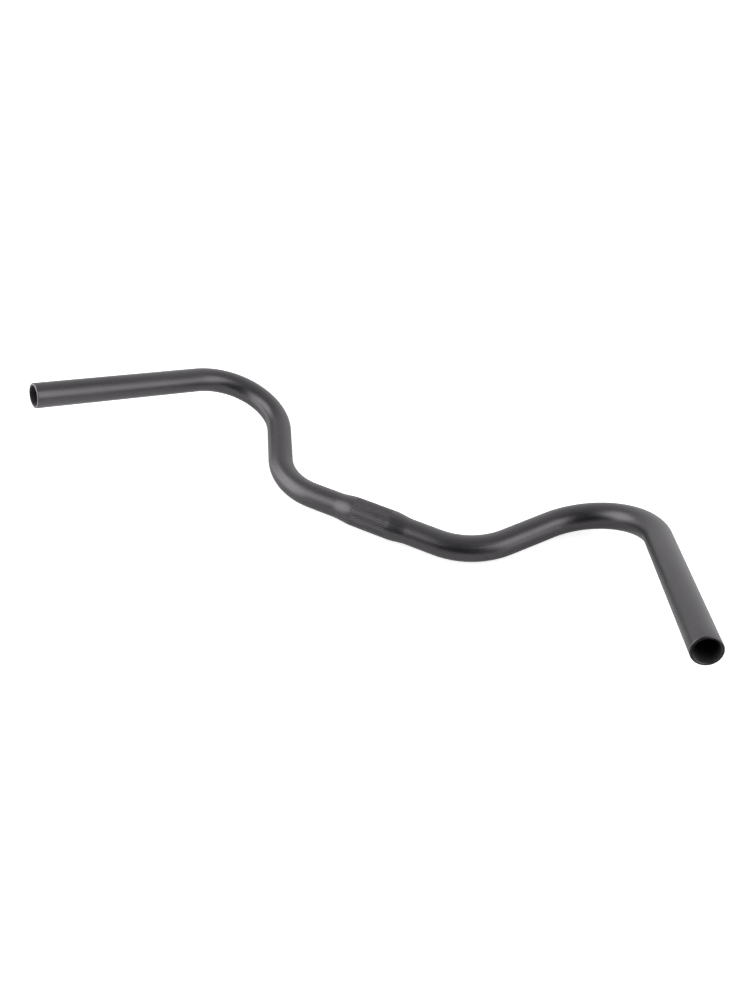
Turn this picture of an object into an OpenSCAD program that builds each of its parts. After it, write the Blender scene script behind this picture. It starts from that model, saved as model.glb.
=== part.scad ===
// Swept-back bicycle handlebar: one bent tube with a swaged and knurled clamp bulge in the middle.
// The origin is the centre of the clamp. +X runs along the clamp, +Y towards the forward bends and
// away from the rider, and +Z up. The bar rests on its bulge and its two forward bends, grips raised.

/* [Tube] */
// Outside diameter of the tube, at the grips, the bends and beside the bulge
tube_d = 22.2; // [19:0.1:24]
// Wall thickness, the same all along the bar
wall = 2; // [1.2:0.1:3]

/* [Clamp bulge] */
// Outside diameter of the bulge that the stem clamps
clamp_d = 25.4; // [25:0.1:31.8]
// Length of the bulge at its full diameter
clamp_l = 35; // [24:1:60]
// Length of the taper on each side, from the bulge down to the tube
taper_l = 18; // [10:1:40]
// Length of plain straight tube on each side, from the taper to the first bend
shoulder_l = 25.5; // [5:0.5:60]

/* [Knurl] */
// Number of straight grooves round the bulge
knurl_count = 48; // [24:1:60]
// Depth of one groove
knurl_depth = 0.24; // [0.1:0.02:0.4]
// Width of one groove at the surface
knurl_w = 0.7; // [0.3:0.1:0.9]
// Plain band left at each end of the bulge
knurl_margin = 0.5; // [0.4:0.1:5]

/* [Bends] */
// Angle of the forward bend on each side of the clamp
forward_angle = 55; // [20:0.5:75]
// Radius of the forward bend, along the middle of the tube
forward_r = 62; // [40:0.5:100]
// Straight tube between the two bends of a side
link_l = 41.5; // [15:0.5:90]
// Angle of the bend that sweeps the grip back
sweep_angle = 117.5; // [80:0.5:130]
// Radius of that bend, along the middle of the tube
sweep_r = 55; // [40:0.5:90]
// Turn of its plane about the tube, out of the plane of the forward bends, which raises the grip
rise_angle = 22.5; // [5:0.5:45]
// Depth to which bending draws in the skin of the tube, outside and inside
bend_draw = 0.02; // [0.02:0.01:0.1]

/* [Grips] */
// Straight tube at each end, for the grip and the levers
grip_l = 156; // [100:1:200]
// Rounding of the outer edge at the mouth
mouth_round = 1; // [0.2:0.1:1.5]
// Chamfer of the inner edge at the mouth
mouth_chamfer = 0.3; // [0.1:0.05:0.5]

/* [Hidden] */
// Sides of a full circle, and steps along each curve of a profile
round_sides = 96;
curve_steps = 12;
mouth_steps = 6;
black = "#2c2b2d";
tube_r = tube_d / 2;
bore_r = tube_r - wall;
clamp_r = clamp_d / 2;
// From the middle of the bar to the start of the forward bend
centre_half_l = clamp_l / 2 + taper_l + shoulder_l;
// Flat ring left between the two edges of the mouth, however thin the wall
mouth_flat = 0.1;
mouth_edge = min(mouth_round, wall - mouth_chamfer - mouth_flat);
// A groove cutter reaches this far above the surface
cutter_rise = 0.3;
quarter_turn = 90;
half_turn = 180;
// Length by which a straight stretch laps over the bend beside it
lap = 0.3;

// Share of the way from the tube to the bulge, at a share t of the way along the taper.
// Both ends of the curve run out level, as on a swaged tube.
function swage(t) = t * t * (3 - 2 * t);

// Points of the outside of the centre, from the left bend to the right one, as [radius, place].
function taper_point(t) = [tube_r + (clamp_r - tube_r) * swage(t), taper_l * (1 - t)];
function centre_side() = [
    [tube_r, centre_half_l + lap],
    for (i = [0 : curve_steps]) taper_point(i / curve_steps) + [0, clamp_l / 2]
];
function flipped(points) = [for (i = [len(points) - 1 : -1 : 0]) [points[i][0], -points[i][1]]];
function moved_in(points) = [for (i = [len(points) - 1 : -1 : 0]) points[i] - [wall, 0]];

// Moves what follows to the far end of a bend that starts here and turns towards +X.
module after_bend(r, angle) {
    translate([r, 0, 0])
        rotate([0, angle, 0])
            translate([-r, 0, 0])
                children();
}

// A straight stretch of tube along +Z. It laps a little over the bend at each of its ends.
module straight(l) {
    rotate_extrude($fn = round_sides)
        translate([bore_r, -lap])
            square([wall, l + 2 * lap]);
}

// A bent stretch of tube that starts along +Z and turns towards +X.
module bend(r, angle) {
    translate([r, 0, 0])
        rotate([quarter_turn, 0, half_turn])
            rotate_extrude(angle = angle, $fn = round_sides)
                translate([r, 0])
                    difference() {
                        circle(r = tube_r - bend_draw, $fn = round_sides);
                        circle(r = bore_r + bend_draw, $fn = round_sides);
                    }
}

// One knurling groove along +Z, with its sharp bottom knurl_depth below the surface.
module knurl_groove() {
    slope = (knurl_w / 2) / knurl_depth;
    top = (knurl_depth + cutter_rise) * slope;
    translate([clamp_r, 0, 0])
        linear_extrude(height = clamp_l - 2 * knurl_margin, center = true)
            polygon([[-knurl_depth, 0], [cutter_rise, -top], [cutter_rise, top]]);
}

// The straight middle of the bar along Z: tube, taper, knurled bulge, taper, tube.
module centre() {
    outside = concat(centre_side(), flipped(centre_side()));
    pitch = 360 / knurl_count;
    difference() {
        rotate_extrude($fn = round_sides)
            polygon(concat(outside, moved_in(outside)));
        for (i = [0 : knurl_count - 1])
            rotate([0, 0, (i + 0.5) * pitch])
                knurl_groove();
    }
}

// The straight grip end along +Z, with its open mouth rounded outside and chamfered inside.
module grip() {
    rounded_edge = [
        for (i = [0 : mouth_steps])
            let (a = quarter_turn * i / mouth_steps)
                [tube_r - mouth_edge * (1 - cos(a)), grip_l - mouth_edge * (1 - sin(a))]
    ];
    chamfered_edge = [[bore_r + mouth_chamfer, grip_l], [bore_r, grip_l - mouth_chamfer]];
    rotate_extrude($fn = round_sides)
        polygon(concat([[bore_r, -lap], [tube_r, -lap]], rounded_edge, chamfered_edge));
}

// One side of the bar, from the end of the centre: forward bend, link, sweep bend and grip.
module side() {
    bend(forward_r, forward_angle);
    after_bend(forward_r, forward_angle) {
        straight(link_l);
        translate([0, 0, link_l])
            rotate([0, 0, half_turn - rise_angle]) {
                bend(sweep_r, sweep_angle);
                after_bend(sweep_r, sweep_angle)
                    grip();
            }
    }
}

// Lays the tube's +Z along +X, with the forward bend turning towards +Y.
module along_bar() {
    rotate([quarter_turn, 0, quarter_turn])
        children();
}

module handlebar() {
    color(black) {
        along_bar()
            centre();
        for (flip = [0, 1])
            mirror([flip, 0, 0])
                along_bar()
                    translate([0, 0, centre_half_l])
                        side();
    }
}

handlebar();
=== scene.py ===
"""Looks and light for the swept-back handlebar: one bent tube, satin black anodised aluminium.

The tube is made as the real one is. Its section is turned straight, the clamp bulge is knurled, and
then it is bent along its route. The sizes are the same ones as in part.scad, in millimetres.
"""
import math

import bpy
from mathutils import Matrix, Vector


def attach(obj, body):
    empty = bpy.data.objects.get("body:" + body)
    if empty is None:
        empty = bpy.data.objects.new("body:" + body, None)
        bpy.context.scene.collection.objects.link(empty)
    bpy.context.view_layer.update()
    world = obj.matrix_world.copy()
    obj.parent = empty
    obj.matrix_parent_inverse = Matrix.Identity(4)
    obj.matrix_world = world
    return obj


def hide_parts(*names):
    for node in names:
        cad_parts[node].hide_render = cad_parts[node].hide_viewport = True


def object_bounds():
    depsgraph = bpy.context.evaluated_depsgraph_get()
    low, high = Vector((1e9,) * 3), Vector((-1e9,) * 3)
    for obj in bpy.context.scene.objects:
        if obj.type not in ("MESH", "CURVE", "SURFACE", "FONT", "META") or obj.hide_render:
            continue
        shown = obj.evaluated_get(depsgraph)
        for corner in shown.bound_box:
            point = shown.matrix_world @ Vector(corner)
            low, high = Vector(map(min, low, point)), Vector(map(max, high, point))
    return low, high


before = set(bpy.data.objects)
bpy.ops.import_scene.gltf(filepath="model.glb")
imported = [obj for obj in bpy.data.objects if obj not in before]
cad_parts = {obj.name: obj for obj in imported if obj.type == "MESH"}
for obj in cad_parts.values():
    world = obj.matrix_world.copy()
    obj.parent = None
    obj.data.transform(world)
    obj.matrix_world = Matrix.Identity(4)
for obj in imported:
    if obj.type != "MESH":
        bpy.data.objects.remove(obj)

cad_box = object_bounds()

MM = 0.001

# Sizes of the bar, in millimetres and degrees, as in part.scad
TUBE_D = 22.2
WALL = 2.0
CLAMP_D = 25.4
CLAMP_L = 35.0
TAPER_L = 18.0
SHOULDER_L = 25.5
KNURL_COUNT = 48
KNURL_DEPTH = 0.24
KNURL_MARGIN = 0.5
FORWARD_ANGLE = 55.0
FORWARD_R = 62.0
LINK_L = 41.5
SWEEP_ANGLE = 117.5
SWEEP_R = 55.0
RISE_ANGLE = 22.5
GRIP_L = 156.0
MOUTH_ROUND = 1.0
MOUTH_CHAMFER = 0.3

TUBE_R = TUBE_D / 2
BORE_R = TUBE_R - WALL
CENTRE_HALF_L = CLAMP_L / 2 + TAPER_L + SHOULDER_L
FORWARD_L = FORWARD_R * math.radians(FORWARD_ANGLE)
SWEEP_L = SWEEP_R * math.radians(SWEEP_ANGLE)
# Places along one side, counted from the middle of the bar
LINK_START = CENTRE_HALF_L + FORWARD_L
SWEEP_START = LINK_START + LINK_L
GRIP_START = SWEEP_START + SWEEP_L
HALF_L = GRIP_START + GRIP_L

# Steps of the model, in millimetres and degrees, with no counterpart on the real bar
KNURL_RUN_OUT = 0.05
ROUTE_RUN_OUT = 5
MOUTH_STEPS = 6
SIDES_PER_GROOVE = 4
SAME_POINT = 0.002
SHARP_ANGLE = 20.0

# Kinds of skin on the section
KNURLED = 1
PLAIN = 0
IN_BORE = -1
# A face is in the bore only where all its corners are, so the chamfer keeps the outer skin
BORE_LIMIT = -0.75

# Patterns of the finishes, in millimetres
MARK_W = 0.8
MARK_L = 40.0
DIE_LINE_W = 1.0
DIE_LINE_L = 125.0
# Eleven grains in 20 mm
GRAIN_W = 20 / 11
CLOUD_W = 62.5
# Nearly all of a noise lies between these two values
NOISE_LOW = 0.3
NOISE_HIGH = 0.7

WHITE = (1.0, 1.0, 1.0, 1.0)

# The paper's edges, in metres from the middle of the bar, as the camera sees right and back
TO_RIGHT = Vector((0.852, 0.524))
TO_BACK = Vector((-0.524, 0.852))
PAPER_LEFT = -2.0
PAPER_RIGHT = 0.32
PAPER_FRONT = -0.4
PAPER_BACK = 3.0
# Lift of the paper towards white for the camera
LIFT_TO_CAMERA = 0.72
# Its lift in reflections grows from painted shade near the bar to painted light, which are this many
# metres off
PAINTED_SHADE_END = 0.1
PAINTED_LIGHT_START = 0.7
PAINTED_SHADE_LIFT = 0.1
PAINTED_LIGHT_LIFT = 0.6

# Light from the room, where 1 is white, the way to its dark side, and the power of the fall-off
DARK_SIDE = (0.286, -0.958, 0.0)
ROOM_FALL_OFF = 1.7
WALL_LIGHT = 1.55
CEILING_LIGHT = 1.2

# The camera, in millimetres, metres and degrees
LENS = 34.152
CAMERA_PLACE = (0.294721, -0.479193, 0.582596)
CAMERA_TURN = (45.0524, 2.1639, 29.1842)


def node(tree, kind, settings=None, inputs=None):
    """Adds a node. An input is named or numbered, and is a value or the socket that feeds it."""
    made = tree.nodes.new(kind)
    for name, value in (settings or {}).items():
        setattr(made, name, value)
    for key, value in (inputs or {}).items():
        if isinstance(value, bpy.types.NodeSocket):
            tree.links.new(value, made.inputs[key])
        else:
            made.inputs[key].default_value = value
    return made


def linear(hex_colour):
    """An sRGB hex colour as the linear RGBA that Blender's sockets take."""
    shares = [int(hex_colour[i : i + 2], 16) / 255 for i in (1, 3, 5)]
    return [c / 12.92 if c <= 0.04045 else ((c + 0.055) / 1.055) ** 2.4 for c in shares] + [1.0]


def put(name, data):
    """Puts data in the scene as a new object."""
    made = bpy.data.objects.new(name, data)
    bpy.context.scene.collection.objects.link(made)
    return made


def empty_material(name):
    """A new material, with no nodes yet."""
    made = bpy.data.materials.new(name)
    made.use_nodes = True
    made.node_tree.nodes.clear()
    return made


def satin_black_anodised_aluminium():
    """Drawn 6061 tube, etched to a satin skin and dyed black in the anodising bath, so highlights are
    broad and soft, the edges light up at a low angle, and faint draw marks run along the tube."""
    made = empty_material("satin_black_anodised_aluminium")
    tree = made.node_tree
    place = node(tree, "ShaderNodeUVMap", {"uv_map": "UVMap"})
    # Real draw marks are about 0.05 mm wide. They are drawn wider, so that they show.
    marks_at = node(
        tree,
        "ShaderNodeMapping",
        inputs={
            "Vector": place.outputs["UV"],
            "Scale": (1 / (MARK_L * MM), 1 / (MARK_W * MM), 1.0),
        },
    )
    marks = node(
        tree,
        "ShaderNodeTexNoise",
        inputs={"Vector": marks_at.outputs["Vector"], "Scale": 1.0, "Detail": 2.0},
    )
    here = node(tree, "ShaderNodeTexCoord")
    # The etched skin's grain is under 0.1 mm. It is drawn coarser, so that it shows.
    grain = node(
        tree,
        "ShaderNodeTexNoise",
        inputs={"Vector": here.outputs["Object"], "Scale": 1 / (GRAIN_W * MM), "Detail": 4.0},
    )
    # Slow changes of the dyed layer
    cloud = node(
        tree,
        "ShaderNodeTexNoise",
        inputs={"Vector": here.outputs["Object"], "Scale": 1 / (CLOUD_W * MM), "Detail": 2.0},
    )
    # Marks and grain in equal parts
    both = node(
        tree,
        "ShaderNodeMix",
        {"data_type": "FLOAT"},
        {"Factor": 0.5, "A": marks.outputs["Fac"], "B": grain.outputs["Fac"]},
    )
    rough = node(
        tree,
        "ShaderNodeMapRange",
        inputs={
            "Value": both.outputs["Result"],
            "From Min": NOISE_LOW,
            "From Max": NOISE_HIGH,
            "To Min": 0.33,
            "To Max": 0.45,
        },
    )
    # A quarter of the dye's depth follows its slow changes, and the rest the marks and the grain
    depth_of_dye = node(
        tree,
        "ShaderNodeMix",
        {"data_type": "FLOAT"},
        {"Factor": 0.75, "A": cloud.outputs["Fac"], "B": both.outputs["Result"]},
    )
    tint = node(
        tree,
        "ShaderNodeMix",
        {"data_type": "RGBA"},
        {
            "Factor": depth_of_dye.outputs["Result"],
            "A": linear("#393739"),
            "B": linear("#636164"),
        },
    )
    bump = node(
        tree,
        "ShaderNodeBump",
        inputs={"Strength": 0.3, "Distance": 0.05 * MM, "Height": both.outputs["Result"]},
    )
    shader = node(
        tree,
        "ShaderNodeBsdfPrincipled",
        inputs={
            "Base Color": tint.outputs["Result"],
            "Metallic": 1.0,
            "Roughness": rough.outputs["Result"],
            "Normal": bump.outputs["Normal"],
        },
    )
    node(tree, "ShaderNodeOutputMaterial", inputs={"Surface": shader.outputs["BSDF"]})
    return made


def dull_bore_with_painted_light():
    """The inside of the tube, left as drawn and dyed with the rest, so it is dull, with its tint painted
    a little paler as painted light in the shaded bore.
    """
    made = empty_material("dull_bore_with_painted_light")
    tree = made.node_tree
    place = node(tree, "ShaderNodeUVMap", {"uv_map": "UVMap"})
    # Real die lines are about 0.2 mm wide. They are drawn wider, so that they show.
    lines_at = node(
        tree,
        "ShaderNodeMapping",
        inputs={
            "Vector": place.outputs["UV"],
            "Scale": (1 / (DIE_LINE_L * MM), 1 / (DIE_LINE_W * MM), 1.0),
        },
    )
    lines = node(
        tree,
        "ShaderNodeTexNoise",
        inputs={"Vector": lines_at.outputs["Vector"], "Scale": 1.0, "Detail": 3.0},
    )
    rough = node(
        tree,
        "ShaderNodeMapRange",
        inputs={
            "Value": lines.outputs["Fac"],
            "From Min": NOISE_LOW,
            "From Max": NOISE_HIGH,
            "To Min": 0.75,
            "To Max": 0.9,
        },
    )
    # Painted light: the bore's tint is paler than the outer skin, so the shaded inside looks lit
    tint = node(
        tree,
        "ShaderNodeMix",
        {"data_type": "RGBA"},
        {
            "Factor": lines.outputs["Fac"],
            "A": linear("#565556"),
            "B": linear("#666567"),
        },
    )
    bump = node(
        tree,
        "ShaderNodeBump",
        inputs={"Strength": 0.3, "Distance": 0.03 * MM, "Height": lines.outputs["Fac"]},
    )
    shader = node(
        tree,
        "ShaderNodeBsdfPrincipled",
        inputs={
            "Base Color": tint.outputs["Result"],
            "Metallic": 1.0,
            "Roughness": rough.outputs["Result"],
            "Normal": bump.outputs["Normal"],
        },
    )
    node(tree, "ShaderNodeOutputMaterial", inputs={"Surface": shader.outputs["BSDF"]})
    return made


def matt_white_paper():
    """A studio sweep of matt paper. The camera sees it lifted evenly towards white, and reflections see
    a painted lift with painted shade near the bar.
    """
    made = empty_material("matt_white_paper")
    tree = made.node_tree
    paper = node(
        tree,
        "ShaderNodeBsdfDiffuse",
        inputs={"Color": linear("#e2e2e2"), "Roughness": 0.0},
    )
    ray = node(tree, "ShaderNodeLightPath")
    seen_in = node(
        tree,
        "ShaderNodeMath",
        {"operation": "MAXIMUM"},
        {0: ray.outputs["Is Glossy Ray"], 1: ray.outputs["Is Transmission Ray"]},
    )
    # Painted shade and light: in reflections the paper glows less near the bar, as its shade, and more
    # further off, as if fully lit
    here = node(tree, "ShaderNodeTexCoord")
    away = node(
        tree,
        "ShaderNodeVectorMath",
        {"operation": "LENGTH"},
        {0: here.outputs["Object"]},
    )
    painted_shade_to_light = node(
        tree,
        "ShaderNodeMapRange",
        inputs={
            "Value": away.outputs["Value"],
            "From Min": PAINTED_SHADE_END,
            "From Max": PAINTED_LIGHT_START,
            "To Min": PAINTED_SHADE_LIFT,
            "To Max": PAINTED_LIGHT_LIFT,
        },
    )
    seen_in = node(
        tree,
        "ShaderNodeMath",
        {"operation": "MULTIPLY"},
        {0: seen_in.outputs[0], 1: painted_shade_to_light.outputs["Result"]},
    )
    share = node(
        tree,
        "ShaderNodeMath",
        {"operation": "MULTIPLY_ADD"},
        {0: ray.outputs["Is Camera Ray"], 1: LIFT_TO_CAMERA, 2: seen_in.outputs[0]},
    )
    lift = node(
        tree,
        "ShaderNodeEmission",
        inputs={"Color": WHITE, "Strength": share.outputs[0]},
    )
    both = node(
        tree,
        "ShaderNodeAddShader",
        inputs={0: paper.outputs["BSDF"], 1: lift.outputs["Emission"]},
    )
    node(tree, "ShaderNodeOutputMaterial", inputs={"Surface": both.outputs["Shader"]})
    return made


def swage(t):
    """Share of the way from the tube to the bulge, level at both ends, as on a swaged tube."""
    return t * t * (3 - 2 * t)


def outside_r(s):
    """Outside radius at the distance s from the middle of the bar."""
    past_bulge = abs(s) - CLAMP_L / 2
    if past_bulge <= 0:
        return CLAMP_D / 2
    if past_bulge >= TAPER_L:
        return TUBE_R
    return TUBE_R + (CLAMP_D / 2 - TUBE_R) * swage(1 - past_bulge / TAPER_L)


def stops(start, end, step):
    """Places from start towards end, no further apart than step. The end itself is left out."""
    count = math.ceil((end - start) / step)
    return [start + (end - start) * i / count for i in range(count)]


def section():
    """The closed outline of the wall, as (place along the bar, radius, kind of skin)."""
    knurl_end = CLAMP_L / 2 - KNURL_MARGIN
    taper_end = CLAMP_L / 2 + TAPER_L
    # The bends and the tapers have the shortest steps
    knurled = stops(0, knurl_end, step=3) + [knurl_end]
    plain = [knurl_end + KNURL_RUN_OUT]
    plain += stops(CLAMP_L / 2, taper_end, step=1)
    plain += stops(taper_end, CENTRE_HALF_L, step=8)
    plain += stops(CENTRE_HALF_L, LINK_START, step=2.5)
    plain += stops(LINK_START, SWEEP_START, step=7)
    plain += stops(SWEEP_START, GRIP_START, step=2.5)
    plain += stops(GRIP_START, HALF_L - MOUTH_ROUND, step=12)
    half = [(s, outside_r(s), KNURLED) for s in knurled]
    half += [(s, outside_r(s), PLAIN) for s in plain]
    for i in range(MOUTH_STEPS + 1):
        turn = math.radians(90 * i / MOUTH_STEPS)
        drop = MOUTH_ROUND * (1 - math.cos(turn))
        half.append((HALF_L - MOUTH_ROUND * (1 - math.sin(turn)), TUBE_R - drop, PLAIN))
    half.append((HALF_L, BORE_R + MOUTH_CHAMFER, PLAIN))
    inner = stops(0, taper_end, step=2)
    inner += stops(taper_end, CENTRE_HALF_L, step=8)
    inner += stops(CENTRE_HALF_L, LINK_START, step=4)
    inner += stops(LINK_START, SWEEP_START, step=10)
    inner += stops(SWEEP_START, GRIP_START, step=4)
    inner += stops(GRIP_START, HALF_L - MOUTH_CHAMFER, step=15)
    inner.append(HALF_L - MOUTH_CHAMFER)
    half += [(s, outside_r(s) - WALL, IN_BORE) for s in reversed(inner)]
    # The left half is the mirror image, walked back from the inside to the outside
    return half + [(-s, r, k) for s, r, k in half[-2:0:-1]]


def side_point(s):
    """Where the tube's axis is, at the distance s from the middle along the right side."""
    along = Vector((1, 0, 0))
    ahead = Vector((0, 1, 0))
    up = Vector((0, 0, 1))
    if s <= CENTRE_HALF_L:
        return along * s
    start = along * CENTRE_HALF_L
    a = min(s - CENTRE_HALF_L, FORWARD_L) / FORWARD_R
    end = start + FORWARD_R * (math.sin(a) * along + (1 - math.cos(a)) * ahead)
    bent = math.cos(a) * along + math.sin(a) * ahead
    ahead = math.cos(a) * ahead - math.sin(a) * along
    along = bent
    if s <= LINK_START:
        return end
    if s <= SWEEP_START:
        return end + along * (s - LINK_START)
    start = end + along * LINK_L
    rise = math.radians(RISE_ANGLE)
    back = math.sin(rise) * up - math.cos(rise) * ahead
    a = min(s - SWEEP_START, SWEEP_L) / SWEEP_R
    end = start + SWEEP_R * (math.sin(a) * along + (1 - math.cos(a)) * back)
    if s <= GRIP_START:
        return end
    return end + (math.cos(a) * along + math.sin(a) * back) * (s - GRIP_START)


def bar_point(s):
    """The same for the whole bar, with s below 0 on the left side."""
    p = side_point(abs(s))
    return Vector((math.copysign(1, s) * p.x, p.y, p.z))


def bend_tree():
    """Nodes that turn the section into a straight tube, knurl it, and bend it along the route."""
    tree = bpy.data.node_groups.new("turn_knurl_and_bend", "GeometryNodeTree")
    tree.is_modifier = True
    face = tree.interface
    face.new_socket("Section", in_out="INPUT", socket_type="NodeSocketGeometry")
    for name, kind in (
        ("Route", "NodeSocketObject"),
        ("Stations", "NodeSocketInt"),
        ("Sides", "NodeSocketInt"),
        ("Knurl Count", "NodeSocketInt"),
        ("Knurl Depth", "NodeSocketFloat"),
        ("Sharp Angle", "NodeSocketFloat"),
        ("Skin", "NodeSocketMaterial"),
        ("Bore", "NodeSocketMaterial"),
    ):
        face.new_socket(name, in_out="INPUT", socket_type=kind)
    face.new_socket("Tube", in_out="OUTPUT", socket_type="NodeSocketGeometry")
    given = node(tree, "NodeGroupInput").outputs

    route = node(tree, "GeometryNodeObjectInfo", inputs={"Object": given["Route"]})
    length = node(tree, "GeometryNodeCurveLength", inputs={0: route.outputs["Geometry"]})
    columns = node(tree, "ShaderNodeMath", {"operation": "ADD"}, {0: given["Sides"], 1: 1.0})
    rows = node(tree, "ShaderNodeMath", {"operation": "ADD"}, {0: given["Stations"], 1: 1.0})
    # One row of the sheet for each point of the section, and one column for each side of the tube
    sheet = node(
        tree,
        "GeometryNodeMeshGrid",
        inputs={"Vertices X": rows.outputs[0], "Vertices Y": columns.outputs[0]},
    )
    share = node(tree, "ShaderNodeSeparateXYZ", inputs={0: sheet.outputs["UV Map"]})
    row = node(
        tree,
        "ShaderNodeMath",
        {"operation": "MULTIPLY"},
        {0: share.outputs["X"], 1: given["Stations"]},
    )
    row = node(tree, "ShaderNodeMath", {"operation": "ROUND"}, {0: row.outputs[0]})
    # The last row closes the tube on the first one
    row = node(
        tree,
        "ShaderNodeMath",
        {"operation": "FLOORED_MODULO"},
        {0: row.outputs[0], 1: given["Stations"]},
    )
    point = node(
        tree,
        "GeometryNodeSampleIndex",
        {"data_type": "FLOAT_VECTOR", "domain": "POINT"},
        {
            "Geometry": given["Section"],
            "Value": node(tree, "GeometryNodeInputPosition").outputs[0],
            "Index": row.outputs[0],
        },
    )
    point = node(tree, "ShaderNodeSeparateXYZ", inputs={0: point.outputs[0]})

    # A groove's depth is full in the middle of each pitch and 0 a quarter pitch away
    pitch = node(
        tree,
        "ShaderNodeMath",
        {"operation": "MULTIPLY"},
        {0: share.outputs["Y"], 1: given["Knurl Count"]},
    )
    pitch = node(tree, "ShaderNodeMath", {"operation": "FRACT"}, {0: pitch.outputs[0]})
    off = node(tree, "ShaderNodeMath", {"operation": "SUBTRACT"}, {0: pitch.outputs[0], 1: 0.5})
    off = node(tree, "ShaderNodeMath", {"operation": "ABSOLUTE"}, {0: off.outputs[0]})
    groove = node(
        tree,
        "ShaderNodeMapRange",
        inputs={"Value": off.outputs[0], "From Min": 0.25, "From Max": 0.0},
    )
    depth = node(
        tree,
        "ShaderNodeMath",
        {"operation": "MULTIPLY"},
        {0: groove.outputs["Result"], 1: given["Knurl Depth"]},
    )
    knurled = node(tree, "ShaderNodeMath", {"operation": "MAXIMUM"}, {0: point.outputs["Z"], 1: 0.0})
    depth = node(
        tree,
        "ShaderNodeMath",
        {"operation": "MULTIPLY"},
        {0: depth.outputs[0], 1: knurled.outputs[0]},
    )
    radius = node(
        tree,
        "ShaderNodeMath",
        {"operation": "SUBTRACT"},
        {0: point.outputs["Y"], 1: depth.outputs[0]},
    )

    # Each point goes out from the route's axis by its radius, at its angle
    middle = node(
        tree,
        "ShaderNodeMath",
        {"operation": "MULTIPLY_ADD"},
        {0: length.outputs[0], 1: 0.5, 2: point.outputs["X"]},
    )
    axis = node(
        tree,
        "GeometryNodeSampleCurve",
        {"mode": "LENGTH"},
        {"Curves": route.outputs["Geometry"], "Length": middle.outputs[0]},
    )
    beside = node(
        tree,
        "ShaderNodeVectorMath",
        {"operation": "CROSS_PRODUCT"},
        {0: axis.outputs["Tangent"], 1: axis.outputs["Normal"]},
    )
    angle = node(
        tree,
        "ShaderNodeMath",
        {"operation": "MULTIPLY"},
        {0: share.outputs["Y"], 1: 2 * math.pi},
    )
    out = None
    for turn, way in (("COSINE", axis.outputs["Normal"]), ("SINE", beside.outputs[0])):
        part = node(tree, "ShaderNodeMath", {"operation": turn}, {0: angle.outputs[0]})
        part = node(
            tree,
            "ShaderNodeMath",
            {"operation": "MULTIPLY"},
            {0: part.outputs[0], 1: radius.outputs[0]},
        )
        out = node(
            tree,
            "ShaderNodeVectorMath",
            {"operation": "MULTIPLY_ADD"},
            {0: way, 1: part.outputs[0], 2: out.outputs[0] if out else axis.outputs["Position"]},
        )
    tube = node(
        tree,
        "GeometryNodeSetPosition",
        inputs={"Geometry": sheet.outputs["Mesh"], "Position": out.outputs[0]},
    )
    # The kind of skin is kept with the points, for the choice of material at the end
    marked = node(tree, "GeometryNodeCaptureAttribute", {"domain": "POINT"})
    marked.capture_items.new("FLOAT", "Kind")
    tree.links.new(tube.outputs[0], marked.inputs["Geometry"])
    tree.links.new(point.outputs["Z"], marked.inputs["Kind"])

    # The material's own map: metres along the bar, and metres round the tube
    around = node(
        tree,
        "ShaderNodeMath",
        {"operation": "MULTIPLY"},
        {0: angle.outputs[0], 1: TUBE_R * MM},
    )
    place = node(
        tree,
        "ShaderNodeCombineXYZ",
        inputs={"X": point.outputs["X"], "Y": around.outputs[0]},
    )
    tube = node(
        tree,
        "GeometryNodeStoreNamedAttribute",
        {"data_type": "FLOAT2", "domain": "CORNER"},
        {"Geometry": marked.outputs["Geometry"], "Name": "UVMap", "Value": place.outputs[0]},
    )
    tube = node(
        tree,
        "GeometryNodeMergeByDistance",
        inputs={"Geometry": tube.outputs[0], "Distance": SAME_POINT * MM},
    )
    tube = node(tree, "GeometryNodeFlipFaces", inputs={0: tube.outputs[0]})
    tube = node(
        tree,
        "GeometryNodeSetShadeSmooth",
        {"domain": "FACE"},
        {"Geometry": tube.outputs[0], "Shade Smooth": True},
    )
    corner = node(tree, "GeometryNodeInputMeshEdgeAngle")
    sharp = node(
        tree,
        "FunctionNodeCompare",
        {"data_type": "FLOAT", "operation": "GREATER_THAN"},
        {"A": corner.outputs["Unsigned Angle"], "B": given["Sharp Angle"]},
    )
    tube = node(
        tree,
        "GeometryNodeSetShadeSmooth",
        {"domain": "EDGE"},
        {"Geometry": tube.outputs[0], "Selection": sharp.outputs[0], "Shade Smooth": False},
    )
    tube = node(tree, "GeometryNodeRealizeInstances", inputs={0: tube.outputs[0]})
    tube = node(
        tree,
        "GeometryNodeSetMaterial",
        inputs={"Geometry": tube.outputs[0], "Material": given["Skin"]},
    )
    inside = node(
        tree,
        "FunctionNodeCompare",
        {"data_type": "FLOAT", "operation": "LESS_THAN"},
        {"A": marked.outputs["Kind"], "B": BORE_LIMIT},
    )
    tube = node(
        tree,
        "GeometryNodeSetMaterial",
        inputs={
            "Geometry": tube.outputs[0],
            "Selection": inside.outputs[0],
            "Material": given["Bore"],
        },
    )
    node(tree, "NodeGroupOutput", inputs={0: tube.outputs[0]})
    return tree


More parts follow.
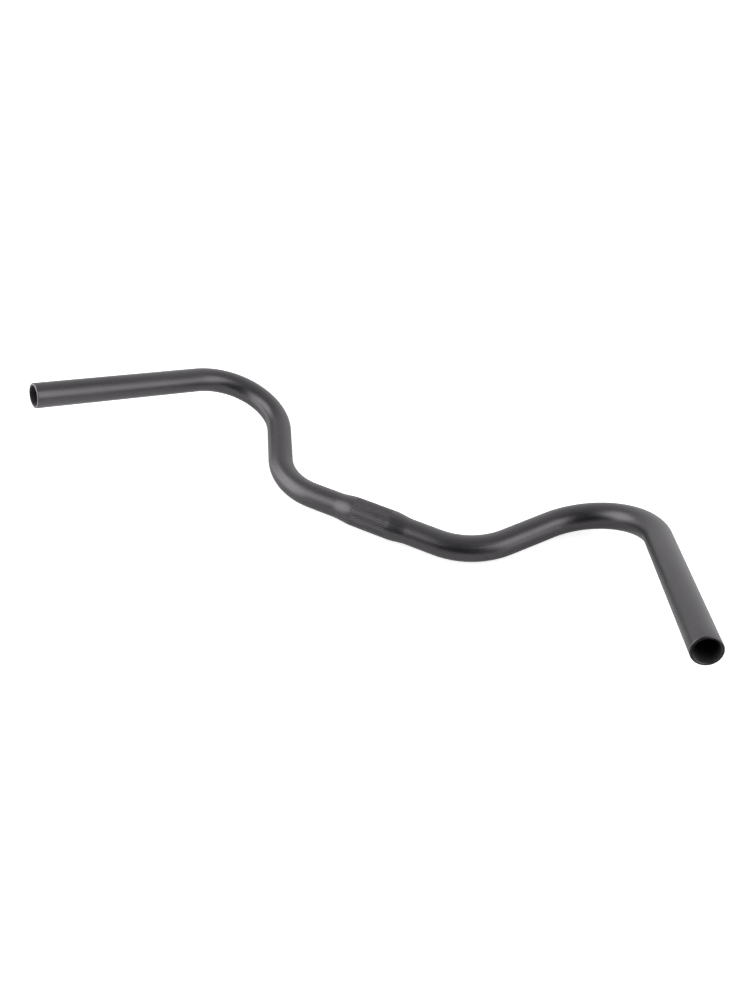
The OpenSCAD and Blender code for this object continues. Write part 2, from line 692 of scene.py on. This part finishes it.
def handlebar_tube(skin, bore):
    """The whole bar as one closed mesh."""
    # The route has a point about each millimetre, and runs on a little past both mouths
    route_half_l = HALF_L + ROUTE_RUN_OUT
    steps = round(route_half_l)
    line = bpy.data.curves.new("route", "CURVE")
    line.dimensions = "3D"
    line.twist_mode = "Z_UP"
    spline = line.splines.new("POLY")
    places = [route_half_l * i / steps for i in range(-steps, steps + 1)]
    spline.points.add(len(places) - 1)
    for point, s in zip(spline.points, places):
        point.co = (*(bar_point(s) * MM), 1.0)
    route = put("route", line)

    outline = section()
    drawn = bpy.data.meshes.new("section")
    drawn.from_pydata([(s * MM, r * MM, k) for s, r, k in outline], [], [])
    raw = put("section", drawn)
    tree = bend_tree()
    change = raw.modifiers.new("bend", "NODES")
    change.node_group = tree
    inputs = {
        "Route": route,
        "Stations": len(outline),
        "Sides": KNURL_COUNT * SIDES_PER_GROOVE,
        "Knurl Count": KNURL_COUNT,
        "Knurl Depth": KNURL_DEPTH * MM,
        "Sharp Angle": math.radians(SHARP_ANGLE),
        "Skin": skin,
        "Bore": bore,
    }
    for item in tree.interface.items_tree:
        if item.in_out == "INPUT" and item.name in inputs:
            change[item.identifier] = inputs[item.name]
    mesh = bpy.data.meshes.new_from_object(
        raw.evaluated_get(bpy.context.evaluated_depsgraph_get())
    )
    mesh.name = "handlebar_tube"
    raw.modifiers.remove(change)
    bpy.data.objects.remove(raw)
    bpy.data.objects.remove(route)
    return put("handlebar_tube", mesh)


def softbox(name, towards, distance, width, height, radiance):
    """A rectangular lamp that faces the middle of the bar from the direction towards."""
    lamp = bpy.data.lights.new(name, "AREA")
    lamp.shape = "RECTANGLE"
    lamp.size = width
    lamp.size_y = height
    # A flat lamp of this power shines with this radiance, where 1 is white
    lamp.energy = radiance * math.pi * width * height
    made = put(name, lamp)
    way = towards.normalized()
    made.location = way * distance
    made.rotation_euler = way.to_track_quat("Z", "Y").to_euler()


def paper_floor():
    """The paper under the bar. It ends a little in front of the bar and to its right, so that the
    mouths show the darker room."""
    lowest = cad_box[0].z
    corners = [
        TO_RIGHT * x + TO_BACK * y
        for x, y in (
            (PAPER_LEFT, PAPER_FRONT),
            (PAPER_RIGHT, PAPER_FRONT),
            (PAPER_RIGHT, PAPER_BACK),
            (PAPER_LEFT, PAPER_BACK),
        )
    ]
    sheet = bpy.data.meshes.new("floor")
    sheet.from_pydata([(c.x, c.y, lowest) for c in corners], [], [(0, 1, 2, 3)])
    sheet.materials.append(matt_white_paper())
    return put("floor", sheet)


def room():
    """The room's light. It is black behind the camera and a little to its left, and rises to its
    full level on the far side. The camera sees white there or brighter."""
    surroundings = bpy.data.worlds.new("studio")
    bpy.context.scene.world = surroundings
    surroundings.use_nodes = True
    tree = surroundings.node_tree
    tree.nodes.clear()
    way = node(tree, "ShaderNodeTexCoord")
    to_dark_side = node(
        tree,
        "ShaderNodeVectorMath",
        {"operation": "DOT_PRODUCT"},
        {0: way.outputs["Generated"], 1: DARK_SIDE},
    )
    share = node(
        tree,
        "ShaderNodeMapRange",
        inputs={"Value": to_dark_side.outputs["Value"], "From Min": 1.0, "From Max": -1.0},
    )
    share = node(
        tree,
        "ShaderNodeMath",
        {"operation": "POWER"},
        {0: share.outputs["Result"], 1: ROOM_FALL_OFF},
    )
    # The walls are brighter than the ceiling
    height = node(tree, "ShaderNodeSeparateXYZ", inputs={0: way.outputs["Generated"]})
    height = node(
        tree,
        "ShaderNodeMapRange",
        inputs={
            "Value": height.outputs["Z"],
            "From Min": 0.0,
            "From Max": 1.0,
            "To Min": WALL_LIGHT,
            "To Max": CEILING_LIGHT,
        },
    )
    ray = node(tree, "ShaderNodeLightPath")
    level = node(
        tree,
        "ShaderNodeMath",
        {"operation": "MULTIPLY"},
        {0: share.outputs[0], 1: height.outputs["Result"]},
    )
    level = node(
        tree,
        "ShaderNodeMath",
        {"operation": "MAXIMUM"},
        {0: level.outputs[0], 1: ray.outputs["Is Camera Ray"]},
    )
    back = node(
        tree,
        "ShaderNodeBackground",
        inputs={"Color": WHITE, "Strength": level.outputs[0]},
    )
    node(tree, "ShaderNodeOutputWorld", inputs={"Surface": back.outputs["Background"]})


def placed_camera():
    """The camera, where the photograph was taken from."""
    camera = bpy.data.cameras.new("camera")
    camera.sensor_width = 36.0
    camera.lens = LENS
    made = put("camera", camera)
    made.location = CAMERA_PLACE
    made.rotation_euler = [math.radians(a) for a in CAMERA_TURN]
    return made


def studio():
    """Floor, room, camera and lamps."""
    floor = paper_floor()
    room()
    seen_from = placed_camera()
    bpy.context.scene.camera = seen_from

    # The lamps' directions are given beside the camera's view: right, up and back to the camera
    bpy.context.view_layer.update()
    turned = seen_from.matrix_world.to_3x3()
    softbox(
        "left_softbox",
        turned @ Vector((-0.9, 0.327, 0.289)),
        distance=0.75,
        width=0.85,
        height=0.8,
        radiance=3.5,
    )
    softbox(
        "right_softbox",
        turned @ Vector((0.709, 0.042, 0.704)),
        distance=2.5,
        width=1.93,
        height=2.85,
        radiance=2.95,
    )


bar = handlebar_tube(satin_black_anodised_aluminium(), dull_bore_with_painted_light())
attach(bar, "root")
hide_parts("handlebar")
studio()

scene = bpy.context.scene
scene.view_settings.view_transform = "Standard"
